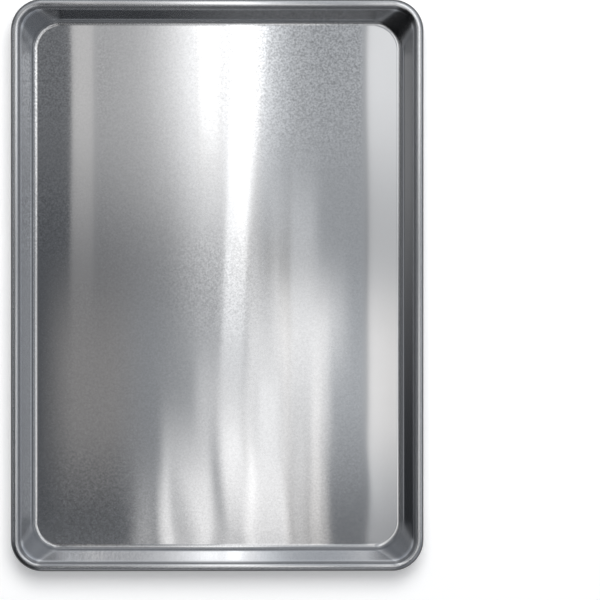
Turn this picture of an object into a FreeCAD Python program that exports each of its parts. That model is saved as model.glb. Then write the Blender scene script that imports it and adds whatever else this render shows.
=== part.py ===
import FreeCAD, Part
import math
import os

# Jelly roll pan: a shallow rectangular baking sheet pressed from one aluminium blank.
# The edge of the blank is curled outwards round a steel wire that stiffens the rim.
# The frame has +Z up and +Y along the pan, with the origin under the middle of the floor.

# Driving dimensions, in millimetres and degrees
overall_length = 454.0
overall_width = 327.5
overall_height = 25.4
sheet_thickness = 1.0
wall_lean = 24.0
rim_corner_radius = 25.0
floor_corner_radius = 24.0
floor_fillet_radius = 5.5

# The wire in the rim
wire_diameter = 4.8
wire_clearance = 0.1
wire_butt_gap = 0.6

# The slit that is left between the blank's curled edge and the wall
hem_slit = 0.5

# Sizes of the rim that follow from the wire and the sheet
curl_inner_radius = wire_diameter / 2 + wire_clearance
bead_radius = curl_inner_radius + sheet_thickness
bead_centre_height = overall_height - bead_radius

# The rim line runs along the middle of the wire
rim_half_width = overall_width / 2 - bead_radius
rim_half_length = overall_length / 2 - bead_radius
rim_line_radius = rim_corner_radius - bead_radius

lean = math.radians(wall_lean)
UP = FreeCAD.Vector(0, 0, 1)
QUARTER_TURN = 90.0
SIDES = 4


def wall_inset(face_radius, height):
    """How far a wall face lies inside the rim line at a height.

    The face is tangent to the circle of that radius round the wire.
    """
    return face_radius / math.cos(lean) - (height - bead_centre_height) * math.tan(lean)


def corner_arcs(inset, corner_radius, height):
    """Corner arcs of the outline that far inside the rim line, anticlockwise from above."""
    half_width = rim_half_width - inset
    half_length = rim_half_length - inset
    diagonal = corner_radius * math.sqrt(0.5)
    arcs = []
    for x_sign, y_sign in ((1, 1), (-1, 1), (-1, -1), (1, -1)):
        centre = FreeCAD.Vector(
            x_sign * (half_width - corner_radius),
            y_sign * (half_length - corner_radius),
            height,
        )
        on_x = centre + FreeCAD.Vector(x_sign * corner_radius, 0, 0)
        on_y = centre + FreeCAD.Vector(0, y_sign * corner_radius, 0)
        middle = centre + FreeCAD.Vector(x_sign * diagonal, y_sign * diagonal, 0)
        first, last = (on_x, on_y) if x_sign == y_sign else (on_y, on_x)
        arcs.append(Part.Arc(first, middle, last).toShape())
    return arcs


def start_of(arc):
    """Point where an arc starts."""
    return arc.firstVertex().Point


def end_of(arc):
    """Point where an arc ends."""
    return arc.lastVertex().Point


def level_face(arcs):
    """Level face inside the corner arcs and the straight sides that join them."""
    edges = []
    for arc, following in zip(arcs, arcs[1:] + arcs[:1]):
        edges.append(arc)
        edges.append(Part.makeLine(end_of(arc), start_of(following)))
    return Part.Face(Part.Wire(edges))


def filleted_tub(face_radius, floor_height, corner_radius, fillet_radius):
    """Solid that one face of the sheet encloses, from the floor up to the middle of the bead.

    Its four walls are flat, and its corners are ruled between the floor's arc and the rim's.
    """
    top_inset = wall_inset(face_radius, bead_centre_height)
    low = corner_arcs(wall_inset(face_radius, floor_height), corner_radius, floor_height)
    high = corner_arcs(top_inset, rim_line_radius - top_inset, bead_centre_height)
    faces = [level_face(low), level_face(high)]
    for corner in range(SIDES):
        following = (corner + 1) % SIDES
        wall_corners = [
            end_of(low[corner]),
            start_of(low[following]),
            start_of(high[following]),
            end_of(high[corner]),
        ]
        faces.append(Part.makeRuledSurface(low[corner], high[corner]))
        faces.append(Part.Face(Part.makePolygon(wall_corners + wall_corners[:1])))
    tub = Part.Solid(Part.Shell(faces)).removeSplitter()
    floor_face = min(tub.Faces, key=lambda face: face.CenterOfMass.z)
    return tub.makeFillet(fillet_radius, floor_face.Edges)


def make_tub_wall():
    """Floor and walls of the sheet, as high as the middle of the bead."""
    corner_growth = wall_inset(bead_radius, sheet_thickness) - wall_inset(curl_inner_radius, 0)
    outside = filleted_tub(
        curl_inner_radius,
        0,
        floor_corner_radius + corner_growth,
        floor_fillet_radius + sheet_thickness,
    )
    inside = filleted_tub(bead_radius, sheet_thickness, floor_corner_radius, floor_fillet_radius)
    return outside.cut(inside)


def on_bead(radius, turn):
    """Point of the rim's cross-section, that far from the wire and that far round the curl in radians."""
    angle = math.pi - lean - turn
    return FreeCAD.Vector(radius * math.cos(angle), 0, bead_centre_height + radius * math.sin(angle))


def curl_section():
    """Cross-section of the curled edge, with the wire's middle above the origin and the pan towards -X."""
    wrap = 2 * math.pi - math.acos((curl_inner_radius - hem_slit) / bead_radius)
    foot_inside = FreeCAD.Vector(-wall_inset(bead_radius, bead_centre_height), 0, bead_centre_height)
    foot_outside = FreeCAD.Vector(-wall_inset(curl_inner_radius, bead_centre_height), 0, bead_centre_height)
    start_over, start_under = on_bead(bead_radius, 0), on_bead(curl_inner_radius, 0)
    end_over, end_under = on_bead(bead_radius, wrap), on_bead(curl_inner_radius, wrap)
    edges = [
        Part.LineSegment(foot_inside, start_over),
        Part.Arc(start_over, on_bead(bead_radius, wrap / 2), end_over),
        Part.LineSegment(end_over, end_under),
        Part.Arc(end_under, on_bead(curl_inner_radius, wrap / 2), start_under),
        Part.LineSegment(start_under, foot_outside),
        Part.LineSegment(foot_outside, foot_inside),
    ]
    return Part.Face(Part.Wire([edge.toShape() for edge in edges]))


def wire_section():
    """Round cross-section of the wire, placed as the curl's is."""
    middle = FreeCAD.Vector(0, 0, bead_centre_height)
    circle = Part.Circle(middle, FreeCAD.Vector(0, 1, 0), wire_diameter / 2)
    return Part.Face(Part.Wire([circle.toShape()]))


def carried_round_rim(section):
    """Solid that a cross-section makes when it is carried once round the rim line."""
    straight_x = rim_half_width - rim_line_radius
    straight_y = rim_half_length - rim_line_radius
    pieces = []
    for side in range(SIDES):
        across, along = (straight_x, straight_y) if side % 2 == 0 else (straight_y, straight_x)
        start = section.copy()
        start.translate(FreeCAD.Vector(across + rim_line_radius, -along, 0))
        straight = start.extrude(FreeCAD.Vector(0, 2 * along, 0))
        start.translate(FreeCAD.Vector(0, 2 * along, 0))
        corner = start.revolve(FreeCAD.Vector(across, along, 0), UP, QUARTER_TURN)
        for piece in (straight, corner):
            piece.rotate(FreeCAD.Vector(0, 0, 0), UP, side * QUARTER_TURN)
            pieces.append(piece)
    return pieces[0].multiFuse(pieces[1:]).removeSplitter()


def make_pan_body():
    """The pressed sheet: floor, walls and curled rim in one piece."""
    return make_tub_wall().fuse(carried_round_rim(curl_section())).removeSplitter()


def make_rim_wire():
    """The stiffening wire, bent round the rim with its two ends facing each other on one long side."""
    loop = carried_round_rim(wire_section())
    gap = Part.makeBox(2 * wire_diameter, wire_butt_gap, 2 * wire_diameter)
    gap.translate(
        FreeCAD.Vector(
            rim_half_width - wire_diameter,
            -wire_butt_gap / 2,
            bead_centre_height - wire_diameter,
        )
    )
    return loop.cut(gap)


def main():
    """Builds each piece and writes it to its own file."""
    os.makedirs("parts", exist_ok=True)
    pieces = {"pan_body": make_pan_body(), "rim_wire": make_rim_wire()}
    for name, shape in pieces.items():
        print(
            f"{name}: {len(shape.Solids)} solid, valid {shape.isValid()}, "
            f"{len(shape.Faces)} faces, {shape.Volume:.1f} mm3"
        )
        shape.exportStep(os.path.join("parts", f"{name}.step"))


main()
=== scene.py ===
import math
from typing import NamedTuple

import bpy
from bpy.props import FloatProperty, FloatVectorProperty, PointerProperty
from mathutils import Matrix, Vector, noise


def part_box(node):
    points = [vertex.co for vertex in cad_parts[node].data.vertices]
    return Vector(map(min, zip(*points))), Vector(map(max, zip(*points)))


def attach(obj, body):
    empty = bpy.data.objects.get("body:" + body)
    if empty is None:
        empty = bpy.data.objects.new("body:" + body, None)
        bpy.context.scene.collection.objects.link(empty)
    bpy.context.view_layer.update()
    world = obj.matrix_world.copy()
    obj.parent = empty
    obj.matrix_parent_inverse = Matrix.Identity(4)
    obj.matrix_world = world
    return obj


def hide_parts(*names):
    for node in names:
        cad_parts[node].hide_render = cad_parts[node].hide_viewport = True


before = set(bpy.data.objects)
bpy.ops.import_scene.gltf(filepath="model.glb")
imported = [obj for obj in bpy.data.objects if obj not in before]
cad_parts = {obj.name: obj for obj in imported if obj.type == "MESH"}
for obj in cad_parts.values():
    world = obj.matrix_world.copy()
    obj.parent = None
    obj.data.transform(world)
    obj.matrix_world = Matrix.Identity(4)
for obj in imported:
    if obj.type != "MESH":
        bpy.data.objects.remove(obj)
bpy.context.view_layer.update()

bl_info = {
    "name": "Jelly roll pan",
    "version": (1, 0, 0),
    "blender": (4, 5, 0),
    "location": "View3D > Sidebar > Bakeware",
    "description": "Builds a wire-rimmed aluminium baking pan and a small studio round it",
    "category": "Object",
}

# Lengths are in metres in the pan's own frame: +Z up, +Y along the pan, the origin under its floor
MILLIMETRE = 0.001
UPWARD = Vector((0.0, 0.0, 1.0))
BODY = "root"
GRAIN_MAP = "grain"

# The photograph's frame and where the pan lies in it, in pixels
PHOTO_SIDE = 600
PAN_WIDTH_PIXELS = 412.8
PAN_MIDDLE_PIXELS = (217.4, 285.2)


class PanSizes(bpy.types.PropertyGroup):
    """Sizes of the pressed sheet. The overall sizes come from the frame."""

    sheet_thickness: FloatProperty(
        name="Sheet thickness",
        description="Thickness of the aluminium blank",
        default=1.0 * MILLIMETRE,
        unit="LENGTH",
    )
    wall_lean: FloatProperty(
        name="Wall lean",
        description="How far the walls lean out from upright",
        default=math.radians(24.0),
        subtype="ANGLE",
    )
    rim_corner_radius: FloatProperty(
        name="Rim corner radius",
        description="Radius of the rim's outer corners, seen from above",
        default=25.0 * MILLIMETRE,
        unit="LENGTH",
    )
    floor_corner_radius: FloatProperty(
        name="Floor corner radius",
        description="Corner radius of the line where the walls would meet the floor",
        default=24.0 * MILLIMETRE,
        unit="LENGTH",
    )
    floor_fillet_radius: FloatProperty(
        name="Floor fillet radius",
        description="Radius of the bend between the floor and the walls, inside the pan",
        default=5.5 * MILLIMETRE,
        unit="LENGTH",
    )
    bead_radius: FloatProperty(
        name="Bead radius",
        description="Outer radius of the rim's curled edge",
        default=3.5 * MILLIMETRE,
        unit="LENGTH",
    )
    hem_slit: FloatProperty(
        name="Hem slit",
        description="Gap between the end of the curl and the wall",
        default=0.5 * MILLIMETRE,
        unit="LENGTH",
    )
    mesh_step: FloatProperty(
        name="Mesh step",
        description="Length of the floor's faces",
        default=3.0 * MILLIMETRE,
        unit="LENGTH",
    )
    swell_height: FloatProperty(
        name="Swell height",
        description="Height of the long swells that are left in the pressed floor",
        default=0.05 * MILLIMETRE,
        unit="LENGTH",
    )
    ripple_height: FloatProperty(
        name="Ripple height",
        description="Height of the ripples that run out of the floor at its near end",
        default=0.07 * MILLIMETRE,
        unit="LENGTH",
    )
    ripple_width: FloatProperty(
        name="Ripple width",
        description="Spacing of the ripples across the pan",
        default=24.0 * MILLIMETRE,
        unit="LENGTH",
    )
    ripple_length: FloatProperty(
        name="Ripple length",
        description="How far the ripples reach along the pan",
        default=130.0 * MILLIMETRE,
        unit="LENGTH",
    )


class PanFinish(bpy.types.PropertyGroup):
    """Colours and surface of the sheet and the wire."""

    aluminium_colour: FloatVectorProperty(
        name="Aluminium",
        description="Colour of the bare sheet",
        default=(0.805, 0.81, 0.82),
        subtype="COLOR",
        size=3,
    )
    zinc_colour: FloatVectorProperty(
        name="Zinc",
        description="Colour of the wire's zinc coat",
        default=(0.52, 0.53, 0.54),
        subtype="COLOR",
        size=3,
    )
    floor_roughness: FloatProperty(
        name="Floor roughness",
        description="Roughness of the rolled sheet where it is still flat",
        default=0.08,
        subtype="FACTOR",
    )
    bend_roughness: FloatProperty(
        name="Bend roughness",
        description="Roughness of the sheet at its rim, bends and corners, where pressing has stretched it",
        default=0.2,
        subtype="FACTOR",
    )
    wire_roughness: FloatProperty(
        name="Wire roughness",
        description="Roughness of the wire's zinc coat",
        default=0.42,
        subtype="FACTOR",
    )
    speckle_size: FloatProperty(
        name="Speckle size",
        description="Size of the fine speckle that rolling leaves",
        default=1.5 * MILLIMETRE,
        unit="LENGTH",
    )
    speckle_contrast: FloatProperty(
        name="Speckle contrast",
        description="How much the speckle shows",
        default=1.4,
    )
    line_contrast: FloatProperty(
        name="Press line contrast",
        description="How much the lines that pressing leaves along the walls show",
        default=0.5,
    )


class StudioSettings(bpy.types.PropertyGroup):
    """The floor, the lights and the camera."""

    camera_height: FloatProperty(
        name="Camera height",
        description="Height of the camera above the pan",
        default=3.4,
        unit="LENGTH",
    )
    light_height: FloatProperty(
        name="Light height",
        description="Height of the overhead soft boxes",
        default=0.6,
        unit="LENGTH",
    )
    floor_colour: FloatVectorProperty(
        name="Floor",
        description="Colour of the studio floor",
        default=(0.86, 0.86, 0.86),
        subtype="COLOR",
        size=3,
    )
    floor_glow: FloatProperty(
        name="Floor glow",
        description="Light that the floor gives off by itself, so that it stays pale",
        default=0.35,
    )
    floor_side: FloatProperty(
        name="Floor side",
        description="Length of the floor's sides",
        default=12.0,
        unit="LENGTH",
    )
    room_colour: FloatVectorProperty(
        name="Room colour",
        description="Colour of the room's light",
        default=(0.92, 0.98, 1.08),
        subtype="COLOR",
        size=3,
    )
    room_light: FloatProperty(
        name="Room light",
        description="Brightness of the room's upper part",
        default=0.115,
    )
    wall_light: FloatProperty(
        name="Wall light",
        description="Brightness of the room's pale walls, low down all round",
        default=0.36,
    )


# Shape of the pressed sheet

# Numbers of faces round the bend, up the wall and its neck, round the curl and its edge, and into a corner
FILLET_STEPS = 8
WALL_STEPS = 4
NECK_STEPS = 6
BEAD_STEPS = 40
EDGE_STEPS = 4
CORNER_STEPS = 8

# Where the line that keeps a stretch's end crisp lies in it, and how much of the wall's rise the neck takes
SUPPORT_SHARE = 0.02
NECK_SHARE = 0.3

# Waves of the floor
WAVE_EDGE = 12 * MILLIMETRE
SWELL_WIDTH = 70 * MILLIMETRE
SWELL_LENGTH = 160 * MILLIMETRE
SWELL_SEED = 3.0
RIPPLE_SEED = 7.0
RIPPLE_FAN_SHARE = 0.3


class GridLine(NamedTuple):
    """Grid line of the floor: its place on the straight stretch, its share of a corner, and which side."""

    straight: float
    share: float
    side: int


class SheetPoint(NamedTuple):
    """Point of the sheet's upper side, and the direction that it faces."""

    place: Vector
    normal: Vector


def grid_lines(half_straight, step):
    """Grid lines across the floor, from one corner over the straight stretch to the other corner."""
    shares = [number / CORNER_STEPS for number in range(1, CORNER_STEPS)]
    shares += [1 - SUPPORT_SHARE, 1]
    count = max(2, round(2 * half_straight / step))
    lines = [GridLine(-half_straight, share, -1) for share in reversed(shares)]
    lines += [GridLine(half_straight * (2 * number / count - 1), 0, 0) for number in range(count + 1)]
    lines += [GridLine(half_straight, share, 1) for share in shares]
    return lines


class SheetShape:
    """Places and slopes of the sheet's upper side, from the floor to the end of the curl."""

    def __init__(self, sizes):
        low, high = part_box("pan_body")
        self.sizes = sizes
        self.thickness = sizes.sheet_thickness
        self.bead = sizes.bead_radius
        self.lean = sizes.wall_lean
        self.bead_height = high.z - self.bead
        rim_half = ((high.x - low.x) / 2 - self.bead, (high.y - low.y) / 2 - self.bead)
        self.rim_radius = sizes.rim_corner_radius - self.bead
        self.top_inset = self.bead / math.cos(self.lean)
        floor_inset = self.top_inset + (self.bead_height - self.thickness) * math.tan(self.lean)
        self.floor_radius = sizes.floor_corner_radius
        self.floor_straight = tuple(half - floor_inset - self.floor_radius for half in rim_half)
        self.rim_straight = tuple(half - self.rim_radius for half in rim_half)
        bend_reach = sizes.floor_fillet_radius * math.tan(math.pi / 4 - self.lean / 2)
        self.flat_radius = self.floor_radius - bend_reach
        self.flat_half = tuple(straight + self.flat_radius for straight in self.floor_straight)

    def section(self, line_x, line_y):
        """Points and normals of the sheet's upper side where two grid lines meet its edge."""
        base = Vector((line_x.straight, line_y.straight))
        outward = corner_direction(line_x, line_y)
        stretch = Vector(rim / floor for rim, floor in zip(self.rim_straight, self.floor_straight))
        rim = base * stretch + outward * self.rim_radius
        foot = base + outward * self.floor_radius
        top = rim - outward * self.top_inset
        rise = self.bead_height - self.thickness
        slope = (top - foot).dot(outward) / rise
        path = self.fillet(foot, top, outward, slope, rise)
        path += self.wall_and_neck(foot, top, rim, outward, slope, rise, path[-1].place.z)
        path += self.curl(rim, outward)
        return path

    def on_ruling(self, foot, top, rise, height, offset=Vector((0, 0))):
        """Point on the straight line up the wall at a height, moved outwards by an offset."""
        place = foot.lerp(top, (height - self.thickness) / rise) + offset
        return Vector((place.x, place.y, height))

    def fillet(self, foot, top, outward, slope, rise):
        """Bend from the floor up into the wall."""
        radius = self.sizes.floor_fillet_radius
        turn = math.pi / 2 - math.atan(slope)
        start = -radius * math.tan(turn / 2)
        path = []
        for number in range(FILLET_STEPS + 1):
            angle = turn * number / FILLET_STEPS
            climb = radius * (1 - math.cos(angle))
            offset = start + radius * math.sin(angle) - climb * slope
            place = self.on_ruling(foot, top, rise, self.thickness + climb, outward * offset)
            path.append(SheetPoint(place, leaning(outward, -math.sin(angle), math.cos(angle))))
        return path

    def wall_and_neck(self, foot, top, rim, outward, slope, rise, start_height):
        """The straight wall, and the neck that eases it into the curl."""
        normal = leaning(outward, -1, slope).normalized()
        neck_height = self.bead_height - NECK_SHARE * rise
        path = []
        for share in [SUPPORT_SHARE] + [number / WALL_STEPS for number in range(1, WALL_STEPS + 1)]:
            height = start_height + (neck_height - start_height) * share
            path.append(SheetPoint(self.on_ruling(foot, top, rise, height), normal))
        start = path[-1].place
        end, end_normal = self.curl_point(rim, outward, 0)
        start_pull = self.on_ruling(foot, top, rise, end.z) - start
        end_pull = leaning(outward, math.tan(self.lean), 1) * (end.z - start.z)
        for number in range(1, NECK_STEPS):
            share = number / NECK_STEPS
            place = eased(start, start_pull, end, end_pull, share)
            path.append(SheetPoint(place, normal.lerp(end_normal, share).normalized()))
        return path

    def curl_point(self, rim, outward, turn):
        """Point and normal on the outside of the curl, that far round it."""
        angle = math.pi - self.lean - turn
        normal = leaning(outward, math.cos(angle), math.sin(angle))
        return SheetPoint(Vector((rim.x, rim.y, self.bead_height)) + normal * self.bead, normal)

    def curl(self, rim, outward):
        """The curled edge, from the top of the wall round to the end of the blank."""
        inner = self.bead - self.thickness
        wrap = 2 * math.pi - math.acos((inner - self.sizes.hem_slit) / self.bead)
        return [self.curl_point(rim, outward, wrap * step / BEAD_STEPS) for step in range(BEAD_STEPS + 1)]


def leaning(outward, along, up):
    """Direction that goes that far outwards and that far up."""
    return Vector((outward.x * along, outward.y * along, up))


def eased(start, start_pull, end, end_pull, share):
    """Point of a smooth curve that leaves start along its pull and reaches end along its own."""
    square, cube = share**2, share**3
    return (
        start * (2 * cube - 3 * square + 1)
        + start_pull * (cube - 2 * square + share)
        + end * (3 * square - 2 * cube)
        + end_pull * (cube - square)
    )


def corner_direction(line_x, line_y):
    """Outward direction where two grid lines meet the edge of the floor."""
    sine = min(line_x.share, line_y.share) * math.sqrt(0.5)
    cosine = math.sqrt(1 - sine**2)
    along_x, along_y = (cosine, sine) if line_x.share >= line_y.share else (sine, cosine)
    return Vector((line_x.side * along_x, line_y.side * along_y))


def inside_floor(line_x, line_y, radius):
    """Point of the flat floor where two grid lines cross, with the corners drawn round."""
    x = line_x.straight + line_x.side * radius * line_x.share * math.sqrt(1 - line_y.share**2 / 2)
    y = line_y.straight + line_y.side * radius * line_y.share * math.sqrt(1 - line_x.share**2 / 2)
    return x, y


def eased_share(low, high, value):
    """0 below low, 1 above high and a smooth rise between them."""
    share = min(1.0, max(0.0, (value - low) / (high - low)))
    return share * share * (3 - 2 * share)


def floor_wave(shape, x, y):
    """Height of the floor's waves at a place, fading out towards the walls."""
    sizes = shape.sizes
    half_width, half_length = shape.flat_half
    fade = eased_share(0, WAVE_EDGE, min(half_width - abs(x), half_length - abs(y)))
    near = eased_share(0, 1, 1 - (y + half_length) / sizes.ripple_length)
    fan = sizes.ripple_width * (1 + RIPPLE_FAN_SHARE * near)
    swell = noise.noise(Vector((x / SWELL_WIDTH, y / SWELL_LENGTH, SWELL_SEED)))
    ripple = noise.noise(Vector((x / fan, y / sizes.ripple_length, RIPPLE_SEED)))
    return fade * (sizes.swell_height * swell + sizes.ripple_height * near * ripple)


def sheet_outline(lines_x, lines_y):
    """Grid places along the edge of the floor, anticlockwise from the right-hand end of the near side."""
    last_x, last_y = len(lines_x) - 1, len(lines_y) - 1
    places = [(last_x, row) for row in range(last_y)]
    places += [(column, last_y) for column in range(last_x, 0, -1)]
    places += [(0, row) for row in range(last_y, 0, -1)]
    places += [(column, 0) for column in range(last_x)]
    return places


class SheetMesh:
    """Vertices, faces and grain directions of the pan's mesh."""

    def __init__(self, shape):
        self.shape = shape
        self.points = []
        self.faces = []
        self.grain = []
        sizes = shape.sizes
        self.lines_x, self.lines_y = (grid_lines(half, sizes.mesh_step) for half in shape.floor_straight)
        self.outline = sheet_outline(self.lines_x, self.lines_y)
        upper_edge, lower_edge = self.add_walls()
        self.add_floor(upper_edge, upper=True)
        self.add_floor(lower_edge, upper=False)

    def add_point(self, place):
        """Adds a point, and gives its number."""
        self.points.append(place)
        return len(self.points) - 1

    def add_face(self, corners, blank):
        """Adds a face, with the grain running along the pan in the flat blank."""
        self.faces.append(corners)
        self.grain.extend((place.y, -place.x) for place in blank)

    def ring(self, section):
        """Points of one section through the sheet: up the inside, round the edge and down the outside."""
        half = self.shape.thickness / 2
        upper = [place for place, normal in section]
        lower = [place - normal * self.shape.thickness for place, normal in section]
        end, normal = section[-1]
        forward = (end - section[-2].place).normalized()
        middle = end - normal * half
        edge = []
        for number in range(1, EDGE_STEPS):
            angle = math.pi * number / EDGE_STEPS
            edge.append(middle + (normal * math.cos(angle) + forward * math.sin(angle)) * half)
        return upper + edge + lower[::-1]

    def blank_places(self, ring, outward):
        """Where the points of a section lay in the flat blank before it was pressed."""
        start = ring[0].xy
        reach = [0.0]
        for place, following in zip(ring, ring[1:]):
            step = (following - place).length
            going_out = len(reach) < len(ring) / 2
            reach.append(reach[-1] + step if going_out else reach[-1] - step)
        return [start + outward * length for length in reach]

    def add_walls(self):
        """The bends, walls and curl, as strips between sections. Gives the two edges that meet the floor."""
        indices, blanks = [], []
        for column, row in self.outline:
            lines = (self.lines_x[column], self.lines_y[row])
            ring = self.ring(self.shape.section(*lines))
            indices.append([self.add_point(place) for place in ring])
            blanks.append(self.blank_places(ring, corner_direction(*lines)))
        for number, ring in enumerate(indices):
            following = (number + 1) % len(indices)
            for place in range(len(ring) - 1):
                around = [(number, place), (number, place + 1), (following, place + 1), (following, place)]
                corners = [indices[section][step] for section, step in around]
                self.add_face(corners, [blanks[section][step] for section, step in around])
        return [ring[0] for ring in indices], [ring[-1] for ring in indices]

    def add_floor(self, edge_points, upper):
        """One side of the floor, as a grid that meets the walls at its edge."""
        edge = dict(zip(self.outline, edge_points))
        grid = []
        for row, line_y in enumerate(self.lines_y):
            grid.append([])
            for column, line_x in enumerate(self.lines_x):
                if (column, row) in edge:
                    grid[-1].append(edge[column, row])
                else:
                    grid[-1].append(self.add_floor_point(line_x, line_y, upper))
        for near, far in zip(grid, grid[1:]):
            for column in range(len(near) - 1):
                corners = (near[column], near[column + 1], far[column + 1], far[column])
                if not upper:
                    corners = corners[::-1]
                self.add_face(corners, [self.points[corner].xy for corner in corners])

    def add_floor_point(self, line_x, line_y, upper):
        """Adds the point of the floor where two grid lines cross, and gives its number."""
        x, y = inside_floor(line_x, line_y, self.shape.flat_radius)
        height = floor_wave(self.shape, x, y)
        height += self.shape.thickness if upper else 0
        return self.add_point(Vector((x, y, height)))


def new_mesh_object(name, points, faces):
    """Smooth mesh object in the scene."""
    mesh = bpy.data.meshes.new(name)
    mesh.from_pydata(points, [], faces)
    mesh.shade_smooth()
    piece = bpy.data.objects.new(name, mesh)
    bpy.context.scene.collection.objects.link(piece)
    return piece


# Materials

OXIDE_GROUP = "cloudy_oxide"
SPECKLE_GROUP = "fine_speckle"
NOISE_MIDDLE = 0.5
CLOUD_DETAIL = 4.0
SPECKLE_DETAIL = 1.0
SPECKLE_TILT = 0.03
FAINT_SPECKLE_SHARE = 0.2
LINE_SPACING = 1.6 * MILLIMETRE
LINE_DETAIL = 2.0
SPANGLE_SIZE = 0.8 * MILLIMETRE
SPANGLE_CONTRAST = 0.3
SPANGLE_TILT = 0.1

# How far past the ends of the floor's straight sides its corners begin and end
CORNER_REACHES = (-7.2 * MILLIMETRE, 10.8 * MILLIMETRE)

# Heights above the floor's upper side
WALL_HEIGHTS = (0.2 * MILLIMETRE, 2.5 * MILLIMETRE)
BEND_STARTS = (0.02 * MILLIMETRE, 0.15 * MILLIMETRE)
BEND_ENDS = (0.6 * MILLIMETRE, 1.6 * MILLIMETRE)
# Painted shade in the bend rises over the starts and fades over the ends
BEND_PAINTED_SHADE_STARTS = (0.3 * MILLIMETRE, 0.65 * MILLIMETRE)
BEND_PAINTED_SHADE_ENDS = (3.2 * MILLIMETRE, 4.8 * MILLIMETRE)

# Heights above the middle of the bead
RIM_HEIGHTS = (-4.9 * MILLIMETRE, 0.1 * MILLIMETRE)
# Painted shade beside the bead rises over the starts and fades over the ends
BEAD_PAINTED_SHADE_STARTS = (-1.4 * MILLIMETRE, 0.4 * MILLIMETRE)
BEAD_PAINTED_SHADE_ENDS = (2.6 * MILLIMETRE, 3.3 * MILLIMETRE)

# Darkness of the painted shade in the bend, beside the bead and in the corners
PAINTED_SHADE_SHARE = 0.6
CORNER_PAINTED_SHADE_SHARE = 0.55


class Oxide(NamedTuple):
    """Clouds of oxide: their size, and how much they darken and dull the metal."""

    size: float
    darkening: float
    dulling: float


SHEET_OXIDE = Oxide(50 * MILLIMETRE, 0.06, 0.03)
WIRE_OXIDE = Oxide(6 * MILLIMETRE, 0.3, 0.2)


class SpecklePatch(NamedTuple):
    """Part of the floor where the speckle shows more, in metres."""

    x: float
    y: float
    reach: float
    share: float


SPECKLE_PATCHES = (
    SpecklePatch(0.085, 0.19, 0.16, 1.0),
    SpecklePatch(0.0, 0.0, 0.09, 0.6),
    SpecklePatch(-0.15, 0.17, 0.11, 0.9),
    SpecklePatch(-0.15, 0.06, 0.09, 0.7),
    SpecklePatch(-0.11, -0.19, 0.12, 0.55),
)


class CalmStrip(NamedTuple):
    """Strip along the floor where the speckle shows less, in metres."""

    left: float
    right: float
    near: float
    share: float


CALM_EDGE = 5 * MILLIMETRE
CALM_STRIPS = (CalmStrip(-0.119, -0.098, 0.0, 0.75), CalmStrip(0.113, 0.15, -0.25, 1.0))


def feed(tree, socket, value):
    """Links an output to a socket, or sets the socket to a plain value."""
    if isinstance(value, bpy.types.NodeSocket):
        tree.links.new(value, socket)
    else:
        socket.default_value = value


def add_node(tree, kind, inputs=None, **settings):
    """Adds a node with its settings, and feeds its inputs."""
    node = tree.nodes.new(kind)
    for name, value in settings.items():
        setattr(node, name, value)
    for name, value in (inputs or {}).items():
        feed(tree, node.inputs[name], value)
    return node


def calculate(tree, operation, *values):
    """Output of a math node."""
    return add_node(tree, "ShaderNodeMath", dict(enumerate(values)), operation=operation).outputs[0]


def combine(tree, operation, *values):
    """Output of a vector math node."""
    node = add_node(tree, "ShaderNodeVectorMath", dict(enumerate(values)), operation=operation)
    return node.outputs["Vector"]


def scale_vector(tree, vector, factor):
    """Output of a vector or colour that is multiplied by a factor."""
    inputs = {"Vector": vector, "Scale": factor}
    return add_node(tree, "ShaderNodeVectorMath", inputs, operation="SCALE").outputs["Vector"]


def rising(tree, value, start, end):
    """Output that rises smoothly from 0 at start to 1 at end."""
    inputs = {"Value": value, "From Min": start, "From Max": end}
    return add_node(tree, "ShaderNodeMapRange", inputs, interpolation_type="SMOOTHSTEP").outputs["Result"]


def between(tree, value, starts, ends):
    """Output that rises smoothly from 0 to 1 over the starts, and falls back to 0 over the ends."""
    return calculate(tree, "MULTIPLY", rising(tree, value, *starts), rising(tree, value, *reversed(ends)))


def blend(tree, share, low, high):
    """Output that goes from low to high as a share goes from 0 to 1."""
    inputs = {"Factor": share, "A": low, "B": high}
    return add_node(tree, "ShaderNodeMix", inputs).outputs["Result"]


def grains(tree, size, detail):
    """Output of a noise over the piece, centred on 0, with grains of that size."""
    inputs = {
        "Vector": add_node(tree, "ShaderNodeTexCoord").outputs["Object"],
        "Scale": calculate(tree, "DIVIDE", 1.0, size),
        "Detail": detail,
    }
    speckle = add_node(tree, "ShaderNodeTexNoise", inputs)
    return calculate(tree, "SUBTRACT", speckle.outputs["Fac"], NOISE_MIDDLE)


def new_group(name, inputs, outputs):
    """Empty shader node group with its sockets, and its input and output nodes."""
    tree = bpy.data.node_groups.new(name, "ShaderNodeTree")
    for socket, kind in inputs.items():
        tree.interface.new_socket(name=socket, in_out="INPUT", socket_type=kind)
    for socket, kind in outputs.items():
        tree.interface.new_socket(name=socket, in_out="OUTPUT", socket_type=kind)
    return tree, tree.nodes.new("NodeGroupInput").outputs, tree.nodes.new("NodeGroupOutput").inputs


def oxide_group():
    """Cloudy dulling of bare metal, in its colour and its roughness."""
    tree, given, result = new_group(
        OXIDE_GROUP,
        {
            "Colour": "NodeSocketColor",
            "Roughness": "NodeSocketFloat",
            "Size": "NodeSocketFloat",
            "Darkening": "NodeSocketFloat",
            "Dulling": "NodeSocketFloat",
        },
        {"Colour": "NodeSocketColor", "Roughness": "NodeSocketFloat"},
    )
    cloud = grains(tree, given["Size"], CLOUD_DETAIL)
    keep = calculate(tree, "SUBTRACT", 1.0, calculate(tree, "MULTIPLY", cloud, given["Darkening"]))
    feed(tree, result["Colour"], scale_vector(tree, given["Colour"], keep))
    rough = calculate(tree, "MULTIPLY_ADD", cloud, given["Dulling"], given["Roughness"])
    feed(tree, result["Roughness"], rough)
    return tree


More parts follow.
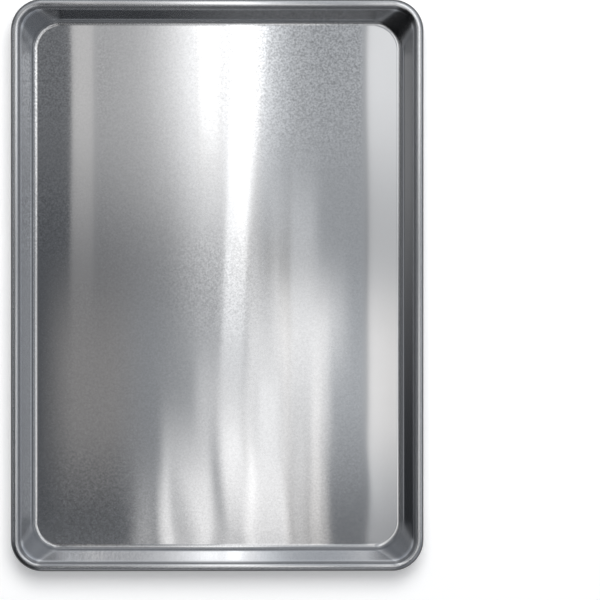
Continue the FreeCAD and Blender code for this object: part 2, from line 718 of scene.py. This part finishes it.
def speckle_group():
    """Fine speckle of bare metal, in its colour and in a normal that tips to and fro along the grain."""
    tree, given, result = new_group(
        SPECKLE_GROUP,
        {
            "Colour": "NodeSocketColor",
            "Along": "NodeSocketVector",
            "Size": "NodeSocketFloat",
            "Contrast": "NodeSocketFloat",
            "Tilt": "NodeSocketFloat",
        },
        {"Colour": "NodeSocketColor", "Normal": "NodeSocketVector"},
    )
    speckle = grains(tree, given["Size"], SPECKLE_DETAIL)
    shade = calculate(tree, "MULTIPLY_ADD", speckle, given["Contrast"], 1.0)
    feed(tree, result["Colour"], scale_vector(tree, given["Colour"], shade))
    tip = scale_vector(tree, given["Along"], calculate(tree, "MULTIPLY", speckle, given["Tilt"]))
    surface = add_node(tree, "ShaderNodeNewGeometry").outputs["Normal"]
    tipped = combine(tree, "NORMALIZE", combine(tree, "ADD", surface, tip))
    feed(tree, result["Normal"], tipped)
    return tree


def place_group(tree, builder, name, inputs):
    """Outputs of a shared node group placed in a material. The group is built the first time."""
    group = add_node(tree, "ShaderNodeGroup", node_tree=bpy.data.node_groups.get(name) or builder())
    for socket, value in inputs.items():
        feed(tree, group.inputs[socket], value)
    return group.outputs


def clouded(tree, oxide, colour, rough):
    """Outputs of the cloudy dulling, placed in a material."""
    return place_group(tree, oxide_group, OXIDE_GROUP, {
        "Colour": colour,
        "Roughness": rough,
        "Size": oxide.size,
        "Darkening": oxide.darkening,
        "Dulling": oxide.dulling,
    })


def new_metal(name):
    """Material of bare metal, with its node tree and its shader's inputs."""
    material = bpy.data.materials.new(name)
    material.use_nodes = True
    inputs = material.node_tree.nodes["Principled BSDF"].inputs
    inputs["Metallic"].default_value = 1.0
    return material, material.node_tree, inputs


def speckle_share(tree, place):
    """Output that says how much the speckle shows at a place of the floor."""
    shown = FAINT_SPECKLE_SHARE
    for patch in SPECKLE_PATCHES:
        middle = (patch.x, patch.y, 0.0)
        apart = add_node(tree, "ShaderNodeVectorMath", {0: place, 1: middle}, operation="DISTANCE")
        near = rising(tree, apart.outputs["Value"], patch.reach, 0.0)
        shown = calculate(tree, "MAXIMUM", shown, calculate(tree, "MULTIPLY", near, patch.share))
    split = add_node(tree, "ShaderNodeSeparateXYZ", {0: place}).outputs
    for strip in CALM_STRIPS:
        calm = strip.share
        for axis, start, end in (
            ("X", strip.left, strip.left + CALM_EDGE),
            ("X", strip.right + CALM_EDGE, strip.right),
            ("Y", strip.near, strip.near + CALM_EDGE),
        ):
            calm = calculate(tree, "MULTIPLY", calm, rising(tree, split[axis], start, end))
        shown = calculate(tree, "MULTIPLY", shown, calculate(tree, "SUBTRACT", 1.0, calm))
    return shown


def corner_share(tree, place, shape):
    """Output that says how far a place lies in a corner of the pan."""
    split = add_node(tree, "ShaderNodeSeparateXYZ", {0: place}).outputs
    share = 1.0
    for axis, straight in zip("XY", shape.floor_straight):
        past = calculate(tree, "SUBTRACT", calculate(tree, "ABSOLUTE", split[axis]), straight)
        share = calculate(tree, "MULTIPLY", share, rising(tree, past, *CORNER_REACHES))
    return share


def brushed_direction(tree, along, worked):
    """Output for the direction that blurs most: along the pan, and across its rim, bends and corners."""
    surface = add_node(tree, "ShaderNodeNewGeometry").outputs["Normal"]
    level = combine(tree, "CROSS_PRODUCT", surface, UPWARD)
    across = combine(tree, "NORMALIZE", combine(tree, "CROSS_PRODUCT", surface, level))
    kept = scale_vector(tree, along, calculate(tree, "SUBTRACT", 1.0, worked))
    return combine(tree, "ADD", kept, scale_vector(tree, across, worked))


def press_lines(tree, height, on_wall, contrast):
    """Output that shades the lines that pressing leaves along the walls."""
    inputs = {"W": calculate(tree, "DIVIDE", height, LINE_SPACING), "Detail": LINE_DETAIL}
    lines = add_node(tree, "ShaderNodeTexNoise", inputs, noise_dimensions="1D").outputs["Fac"]
    shade = calculate(tree, "MULTIPLY", calculate(tree, "SUBTRACT", lines, NOISE_MIDDLE), on_wall)
    return calculate(tree, "MULTIPLY_ADD", shade, contrast, 1.0)


def painted_crease_shade(tree, above_floor, above_bead, stretched):
    """Output that paints shade into the bend, beside the bead and in the corners."""
    painted_shade = calculate(tree, "MULTIPLY", stretched, CORNER_PAINTED_SHADE_SHARE)
    in_bend = between(tree, above_floor, BEND_PAINTED_SHADE_STARTS, BEND_PAINTED_SHADE_ENDS)
    beside_bead = between(tree, above_bead, BEAD_PAINTED_SHADE_STARTS, BEAD_PAINTED_SHADE_ENDS)
    for strip in (in_bend, beside_bead):
        painted_shade = calculate(tree, "MAXIMUM", painted_shade, calculate(tree, "MULTIPLY", strip, PAINTED_SHADE_SHARE))
    return calculate(tree, "SUBTRACT", 1.0, painted_shade)


def rolled_aluminium(finish, shape):
    """Bright rolled sheet: speckled on its floor, with press lines on its walls, duller bends, and painted
    shade in its bend, beside its bead and in its corners.
    """
    material, tree, shader = new_metal("rolled_aluminium")
    place = add_node(tree, "ShaderNodeTexCoord").outputs["Object"]
    height = add_node(tree, "ShaderNodeSeparateXYZ", {0: place}).outputs["Z"]
    above_floor = calculate(tree, "SUBTRACT", height, shape.thickness)
    above_bead = calculate(tree, "SUBTRACT", height, shape.bead_height)
    grain = add_node(tree, "ShaderNodeTangent", direction_type="UV_MAP", uv_map=GRAIN_MAP)
    along = grain.outputs["Tangent"]
    on_wall = rising(tree, above_floor, *WALL_HEIGHTS)
    on_rim = rising(tree, above_bead, *RIM_HEIGHTS)
    in_bend = between(tree, above_floor, BEND_STARTS, BEND_ENDS)
    bent = calculate(tree, "MAXIMUM", on_rim, in_bend)
    below_rim = calculate(tree, "SUBTRACT", on_wall, on_rim)
    stretched = calculate(tree, "MULTIPLY", corner_share(tree, place, shape), below_rim)
    worked = calculate(tree, "MAXIMUM", bent, stretched)
    rough = blend(tree, worked, finish.floor_roughness, finish.bend_roughness)
    oxide = clouded(tree, SHEET_OXIDE, (*finish.aluminium_colour, 1.0), rough)
    lined = press_lines(tree, height, on_wall, finish.line_contrast)
    # Painted shade darkens the bend, the bead's sides and the corners
    painted_shade_keep = painted_crease_shade(tree, above_floor, above_bead, stretched)
    shade = calculate(tree, "MULTIPLY", lined, painted_shade_keep)
    off_wall = calculate(tree, "SUBTRACT", 1.0, on_wall)
    shown = calculate(tree, "MULTIPLY", speckle_share(tree, place), off_wall)
    speckle = place_group(tree, speckle_group, SPECKLE_GROUP, {
        "Colour": scale_vector(tree, oxide["Colour"], shade),
        "Along": along,
        "Size": finish.speckle_size,
        "Contrast": calculate(tree, "MULTIPLY", shown, finish.speckle_contrast),
        "Tilt": calculate(tree, "MULTIPLY", shown, SPECKLE_TILT),
    })
    feed(tree, shader["Base Color"], speckle["Colour"])
    feed(tree, shader["Normal"], speckle["Normal"])
    feed(tree, shader["Roughness"], oxide["Roughness"])
    shader["Anisotropic"].default_value = 1.0
    feed(tree, shader["Tangent"], brushed_direction(tree, along, worked))
    return material


def zinc_coat(finish):
    """Dull zinc coat of the wire, with its spangle."""
    material, tree, shader = new_metal("zinc_coat")
    oxide = clouded(tree, WIRE_OXIDE, (*finish.zinc_colour, 1.0), finish.wire_roughness)
    speckle = place_group(tree, speckle_group, SPECKLE_GROUP, {
        "Colour": oxide["Colour"],
        "Along": add_node(tree, "ShaderNodeNewGeometry").outputs["Tangent"],
        "Size": SPANGLE_SIZE,
        "Contrast": SPANGLE_CONTRAST,
        "Tilt": SPANGLE_TILT,
    })
    feed(tree, shader["Base Color"], speckle["Colour"])
    feed(tree, shader["Normal"], speckle["Normal"])
    feed(tree, shader["Roughness"], oxide["Roughness"])
    return material


# Studio

LIGHT_GAP = 2 * MILLIMETRE
FLOOR_DROP = 0.2 * MILLIMETRE
MIRRORED_FLOOR_SHARE = 0.5
LIGHT_MIDDLE = 0.5
VIEW_REACH_SHARE = 4
WHITE = (1.0, 1.0, 1.0, 1.0)

# Direction in which the room is brighter, how much its pale walls follow that, and how much it dims overhead
BRIGHT_DIRECTION = (0.85, 0.8, 0.0)
WALL_LEAN_SHARE = 0.45
OVERHEAD_DIMMING_SHARE = 0.2

# Sines of the elevations where the pale walls end, and the leans between which the dark corner fades
WALL_TOP_SINES = (0.48, 0.58)
DARK_CORNER_LEANS = (-1.05, -0.85)


class SoftBox(NamedTuple):
    """Overhead soft box, in millimetres of the pan's floor where the camera sees it mirrored."""

    left: float
    right: float
    near: float
    far: float
    level: float
    soft_across: float
    soft_along: float
    turn: float = 0.0
    warmth: float = 0.0


SOFT_BOXES = {
    "back_soft": SoftBox(-300, 300, 0, 900, 0.08, 50, 150),
    "back_panel": SoftBox(-118, 36, -60, 900, 0.27, 2, 220, warmth=0.02),
    "middle_panel": SoftBox(34, 60, -60, 900, 0.27, 2, 220, warmth=-0.045),
    "back_wide": SoftBox(-320, -110, 270, 900, 0.3, 20, 60),
    "left_strip": SoftBox(-118, -98, -60, 900, 0.14, 2, 220, warmth=0.06),
    "right_panel": SoftBox(58, 119, -190, 900, 0.24, 2, 120, warmth=-0.035),
    "glow_wide": SoftBox(-100, 95, -200, 900, 0.26, 97, 400),
    "glow_core": SoftBox(-45, 60, -200, 900, 0.38, 43, 400),
    "glow_back": SoftBox(-72, 78, 0, 900, 0.24, 75, 230),
    "left_glow": SoftBox(-60, 4, 0, 700, 0.1, 25, 200),
    "left_lobe": SoftBox(-18, 3, 90, 500, 0.3, 5, 60),
    "right_lobe": SoftBox(8, 29, -110, 340, 0.5, 3, 100, -2.7),
    "lobe_edge": SoftBox(24, 39, 0, 340, 0.35, 3, 80, -5),
    "far_lobe": SoftBox(8, 24, 330, 900, 0.5, 3, 60),
    "low_left": SoftBox(-150, -50, -203, 40, 0.17, 40, 100, warmth=0.065),
    "low_right": SoftBox(-90, 150, -238, 40, 0.17, 40, 100, warmth=-0.03),
    "cloud": SoftBox(38, 111, -85, 25, 0.32, 18, 50, warmth=0.03),
    "cloud_haze": SoftBox(38, 85, -40, 100, 0.2, 12, 50),
    "streak": SoftBox(74, 85, -240, -30, 0.22, 3, 70, warmth=0.05),
    "front_right": SoftBox(50, 94, -300, 30, 0.34, 8, 110, warmth=0.05),
    "front_middle": SoftBox(18, 62, -300, 55, 0.5, 10, 110, warmth=0.02),
    "front_left": SoftBox(-22, 30, -140, -40, 0.27, 10, 50, warmth=0.02),
    "front_column": SoftBox(30, 53, -135, -65, 0.25, 6, 25),
    "front_patch": SoftBox(60, 73, -235, -112, 0.12, 5, 20),
    "flame": SoftBox(-1, 29, -260, -85, 0.42, 10, 50, 7, warmth=0.02),
    "flame_core": SoftBox(1, 30, -215, -70, 0.44, 6, 60, 6, warmth=0.02),
    "flame_low": SoftBox(22, 57, -235, -105, 0.3, 6, 45, 4, warmth=0.02),
    "front_soft": SoftBox(-49, 0, -340, -85, 0.4, 10, 60, warmth=0.02),
    "wisp_haze": SoftBox(-74, -42, -340, -130, 0.24, 14, 60, warmth=0.02),
    "wisp_left": SoftBox(-48, -33, -260, -140, 0.42, 3, 30, 5, warmth=0.02),
    "wisp_right": SoftBox(-20, 8, -260, -135, 0.45, 4, 30, 15, warmth=0.02),
    "front_near": SoftBox(-165, 165, -295, -234, 1.0, 20, 20),
    "front_side": SoftBox(-60, 260, -620, -330, 0.11, 100, 40),
    "back_low": SoftBox(-400, 400, 850, 1900, 0.5, 150, 150),
    "front_low": SoftBox(-350, 350, -1900, -850, 0.4, 150, 150),
    "band": SoftBox(117, 175, -260, 900, 0.42, 5, 110),
    "band_front": SoftBox(117, 175, -165, 20, 0.3, 6, 60, warmth=0.07),
    "band_back": SoftBox(117, 175, 50, 330, 0.26, 4, 110),
    "right_near": SoftBox(176, 370, -330, 700, 0.45, 10, 100),
    "right_near_back": SoftBox(176, 370, 40, 700, 0.8, 10, 150),
    "right_side": SoftBox(330, 640, -330, 700, 0.18, 80, 150),
    "right_side_back": SoftBox(330, 640, 60, 700, 0.18, 80, 150),
    "left_side": SoftBox(-640, -250, -180, 900, 0.31, 100, 380),
    "right_low": SoftBox(850, 1900, -350, 350, 0.5, 150, 150),
    "left_low": SoftBox(-1900, -850, -350, 500, 0.4, 150, 150),
    "back_right": SoftBox(450, 1000, 450, 1000, 0.4, 150, 150),
    "back_left": SoftBox(-1000, -450, 450, 1000, 0.35, 150, 150),
    "far_right": SoftBox(450, 1000, -1000, -450, 0.2, 150, 150),
}


class FloorLight(NamedTuple):
    """Soft light for the floor: where it hangs, its side in metres and its level."""

    direction: tuple
    distance: float
    side: float
    level: float


FLOOR_LIGHTS = {
    "floor_key": FloorLight((0.07, 0.5, 1.1), 3.0, 2.4, 7.0),
    "floor_fill": FloorLight((0.0, 0.0, 1.0), 3.2, 3.0, 0.2),
}
FLOOR_LIGHT_SOFT_SHARES = (0.5, 0.5)


def soft_light(name, size, level, softness):
    """Area light of even brightness whose edges fade out over a share of its half size."""
    light = bpy.data.lights.new(name, "AREA")
    light.shape = "RECTANGLE"
    light.size, light.size_y = size
    light.energy = math.pi * size[0] * size[1] * level
    light.use_nodes = True
    tree = light.node_tree
    place = add_node(tree, "ShaderNodeNewGeometry").outputs["Parametric"]
    split = add_node(tree, "ShaderNodeSeparateXYZ", {0: place})
    strength = 1.0
    for axis, share in zip("XY", softness):
        apart = calculate(tree, "ABSOLUTE", calculate(tree, "SUBTRACT", split.outputs[axis], LIGHT_MIDDLE))
        inside = rising(tree, apart, LIGHT_MIDDLE, LIGHT_MIDDLE * (1 - share))
        strength = calculate(tree, "MULTIPLY", strength, inside)
    feed(tree, tree.nodes["Emission"].inputs["Strength"], strength)
    lamp = bpy.data.objects.new(name, light)
    lamp.visible_camera = False
    bpy.context.scene.collection.objects.link(lamp)
    return lamp


def overhead_light(name, height, camera_height):
    """Soft box above the pan, for the metal alone, that shows in the floor where its entry says."""
    box = SOFT_BOXES[name]
    stretch = (1 + height / camera_height) * MILLIMETRE
    width, length = box.right - box.left, box.far - box.near
    softness = (min(1, 2 * box.soft_across / width), min(1, 2 * box.soft_along / length))
    lamp = soft_light(name, (width * stretch, length * stretch), box.level, softness)
    middle = Vector((box.left + box.right, box.near + box.far)) / 2 * stretch
    lamp.location = (middle.x, middle.y, height)
    lamp.rotation_euler.z = math.radians(box.turn)
    lamp.data.color = (1 + box.warmth, 1, 1 - box.warmth)
    lamp.visible_diffuse = False


def floor_light(name):
    """Soft light for the floor alone, so that the pan's shadow falls away from it."""
    light = FLOOR_LIGHTS[name]
    lamp = soft_light(name, (light.side, light.side), light.level, FLOOR_LIGHT_SOFT_SHARES)
    lamp.location = Vector(light.direction).normalized() * light.distance
    lamp.rotation_mode = "QUATERNION"
    lamp.rotation_quaternion = (-lamp.location).to_track_quat("-Z", "Y")
    lamp.visible_glossy = False


def studio_floor(studio):
    """Plain pale floor that the pan stands on, dimmer where the metal mirrors it."""
    half = studio.floor_side / 2
    corners = [(x, y, -FLOOR_DROP) for x, y in ((-half, -half), (half, -half), (half, half), (-half, half))]
    floor = new_mesh_object("studio_floor", corners, [(0, 1, 2, 3)])
    material = bpy.data.materials.new("pale_floor")
    material.use_nodes = True
    tree = material.node_tree
    shader = tree.nodes["Principled BSDF"].inputs
    rays = add_node(tree, "ShaderNodeLightPath").outputs
    keep = calculate(tree, "MULTIPLY_ADD", rays["Is Glossy Ray"], MIRRORED_FLOOR_SHARE - 1, 1.0)
    glow = calculate(tree, "MULTIPLY", rays["Is Camera Ray"], studio.floor_glow)
    feed(tree, shader["Base Color"], scale_vector(tree, studio.floor_colour, keep))
    feed(tree, shader["Roughness"], 1.0)
    feed(tree, shader["Specular IOR Level"], 0.0)
    feed(tree, shader["Emission Color"], WHITE)
    feed(tree, shader["Emission Strength"], glow)
    floor.data.materials.append(material)


def studio_room(studio):
    """Dim room with pale walls, brighter towards the back and the right, and darker overhead."""
    world = bpy.data.worlds.new("room")
    world.use_nodes = True
    tree = world.node_tree
    direction = add_node(tree, "ShaderNodeTexCoord").outputs["Generated"]
    inputs = {0: direction, 1: BRIGHT_DIRECTION}
    lean = add_node(tree, "ShaderNodeVectorMath", inputs, operation="DOT_PRODUCT").outputs["Value"]
    upward = add_node(tree, "ShaderNodeSeparateXYZ", {0: direction}).outputs["Z"]
    sideways = calculate(tree, "MAXIMUM", calculate(tree, "ADD", lean, 1.0), 0.0)
    overhead = calculate(tree, "MULTIPLY_ADD", upward, -OVERHEAD_DIMMING_SHARE, 1.0)
    high = calculate(tree, "MULTIPLY", sideways, calculate(tree, "MULTIPLY", overhead, studio.room_light))
    walls = calculate(tree, "MULTIPLY_ADD", lean, WALL_LEAN_SHARE, 1.0)
    walls = calculate(tree, "MULTIPLY", walls, rising(tree, lean, *DARK_CORNER_LEANS))
    low = calculate(tree, "MULTIPLY", walls, studio.wall_light)
    background = tree.nodes["Background"].inputs
    feed(tree, background["Color"], (*studio.room_colour, 1.0))
    feed(tree, background["Strength"], blend(tree, rising(tree, upward, *WALL_TOP_SINES), low, high))
    bpy.context.scene.world = world


def studio_camera(studio):
    """Camera above the middle of the pan, turned until the pan lies where the photograph has it."""
    low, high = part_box("pan_body")
    pixel = (high.x - low.x) / PAN_WIDTH_PIXELS
    aim = Vector((
        (PHOTO_SIDE / 2 - PAN_MIDDLE_PIXELS[0]) * pixel,
        (PAN_MIDDLE_PIXELS[1] - PHOTO_SIDE / 2) * pixel,
        high.z,
    ))
    data = bpy.data.cameras.new("camera")
    camera = bpy.data.objects.new("camera", data)
    bpy.context.scene.collection.objects.link(camera)
    camera.location = (0, 0, studio.camera_height)
    sight = aim - camera.location
    camera.rotation_mode = "QUATERNION"
    camera.rotation_quaternion = (-UPWARD).rotation_difference(sight)
    data.lens = data.sensor_width * sight.length / (PHOTO_SIDE * pixel)
    data.clip_end = VIEW_REACH_SHARE * studio.camera_height
    bpy.context.scene.camera = camera


# Operators, panel and registration


class BAKEWARE_OT_pressed_sheet(bpy.types.Operator):
    """Builds the pan's pressed aluminium sheet with its curled rim"""

    bl_idname = "bakeware.pressed_sheet"
    bl_label = "Pressed sheet"

    def execute(self, context):
        shape = SheetShape(context.scene.pan_sizes)
        made = SheetMesh(shape)
        piece = new_mesh_object("pressed_sheet", made.points, made.faces)
        grain = piece.data.uv_layers.new(name=GRAIN_MAP)
        grain.uv.foreach_set("vector", [value for pair in made.grain for value in pair])
        piece.data.materials.append(rolled_aluminium(context.scene.pan_finish, shape))
        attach(piece, BODY)
        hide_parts("pan_body")
        return {"FINISHED"}


class BAKEWARE_OT_rim_wire(bpy.types.Operator):
    """Gives the stiffening wire in the rim its zinc coat"""

    bl_idname = "bakeware.rim_wire"
    bl_label = "Rim wire"

    def execute(self, context):
        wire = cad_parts["rim_wire"]
        wire.material_slots[0].material = zinc_coat(context.scene.pan_finish)
        return {"FINISHED"}


class BAKEWARE_OT_studio(bpy.types.Operator):
    """Sets up the floor, the soft lights and the camera"""

    bl_idname = "bakeware.studio"
    bl_label = "Studio"

    def execute(self, context):
        studio = context.scene.pan_studio
        studio_floor(studio)
        studio_camera(studio)
        for number, name in enumerate(SOFT_BOXES):
            overhead_light(name, studio.light_height + number * LIGHT_GAP, studio.camera_height)
        for name in FLOOR_LIGHTS:
            floor_light(name)
        studio_room(studio)
        context.scene.view_settings.view_transform = "Standard"
        return {"FINISHED"}


class BAKEWARE_PT_pan(bpy.types.Panel):
    """Lists the pan's sizes, its finish and its pieces"""

    bl_idname = "BAKEWARE_PT_pan"
    bl_label = "Jelly roll pan"
    bl_space_type = "VIEW_3D"
    bl_region_type = "UI"
    bl_category = "Bakeware"

    def draw(self, context):
        layout = self.layout
        for operator in OPERATORS:
            layout.operator(operator.bl_idname)
        for settings in (context.scene.pan_sizes, context.scene.pan_finish, context.scene.pan_studio):
            box = layout.box()
            for name in settings.__annotations__:
                box.prop(settings, name)


OPERATORS = (BAKEWARE_OT_pressed_sheet, BAKEWARE_OT_rim_wire, BAKEWARE_OT_studio)
SETTINGS = {"pan_sizes": PanSizes, "pan_finish": PanFinish, "pan_studio": StudioSettings}
CLASSES = (*SETTINGS.values(), *OPERATORS, BAKEWARE_PT_pan)


def register():
    """Registers the classes, and gives the scene its settings."""
    for kind in CLASSES:
        bpy.utils.register_class(kind)
    for name, kind in SETTINGS.items():
        setattr(bpy.types.Scene, name, PointerProperty(type=kind))


def unregister():
    """Takes the settings and the classes away again."""
    for name in SETTINGS:
        delattr(bpy.types.Scene, name)
    for kind in reversed(CLASSES):
        bpy.utils.unregister_class(kind)


def main():
    """Builds every piece and the studio."""
    register()
    bpy.ops.bakeware.pressed_sheet()
    bpy.ops.bakeware.rim_wire()
    bpy.ops.bakeware.studio()


if __name__ == "__main__":
    main()
